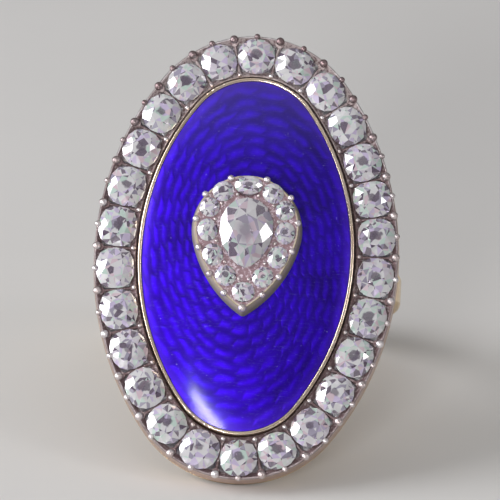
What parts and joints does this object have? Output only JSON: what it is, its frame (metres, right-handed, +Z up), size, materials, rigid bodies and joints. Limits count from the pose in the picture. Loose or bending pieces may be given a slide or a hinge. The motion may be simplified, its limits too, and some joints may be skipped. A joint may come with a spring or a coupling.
{
  "type": "remembrance ring",
  "caption": "Remembrance ring with a long oval head: a border of old-cut diamonds in silver round a domed blue enamel plaque that bears a pear-shaped diamond cluster, on a plain gold hoop.",
  "frame": {"origin": "bottom centre of the bounding box, on the table that the ring lies on", "axes": "+X across the head to its right, -Y to the front, where the head faces forward and up, +Z up from the table"},
  "size_m": [0.0206, 0.0268, 0.0255],
  "materials": {
    "gold": "polished",
    "silver": "aged, with tarnish in its recesses",
    "enamel": "glossy, over an engine-turned ground",
    "diamond": "faceted and polished"
  },
  "bodies": {
    "root": {"shank": "gold", "surround": "silver", "enamel_mount": "gold", "enamel": "enamel", "cluster_setting": "silver", "centre_stone": "diamond", "cluster_stone_1": "diamond", "cluster_stone_2": "diamond", "cluster_stone_3": "diamond", "cluster_stone_4": "diamond", "cluster_stone_5": "diamond", "cluster_stone_6": "diamond", "cluster_stone_7": "diamond", "cluster_stone_8": "diamond", "cluster_stone_9": "diamond", "cluster_stone_10": "diamond", "cluster_stone_11": "diamond", "cluster_stone_12": "diamond", "surround_stone_1": "diamond", "surround_stone_2": "diamond", "surround_stone_3": "diamond", "surround_stone_4": "diamond", "surround_stone_5": "diamond", "surround_stone_6": "diamond", "surround_stone_7": "diamond", "surround_stone_8": "diamond", "surround_stone_9": "diamond", "surround_stone_10": "diamond", "surround_stone_11": "diamond", "surround_stone_12": "diamond", "surround_stone_13": "diamond", "surround_stone_14": "diamond", "surround_stone_15": "diamond", "surround_stone_16": "diamond", "surround_stone_17": "diamond", "surround_stone_18": "diamond", "surround_stone_19": "diamond", "surround_stone_20": "diamond", "surround_stone_21": "diamond", "surround_stone_22": "diamond", "surround_stone_23": "diamond", "surround_stone_24": "diamond", "surround_stone_25": "diamond", "surround_stone_26": "diamond"}
  },
  "joints": []
}
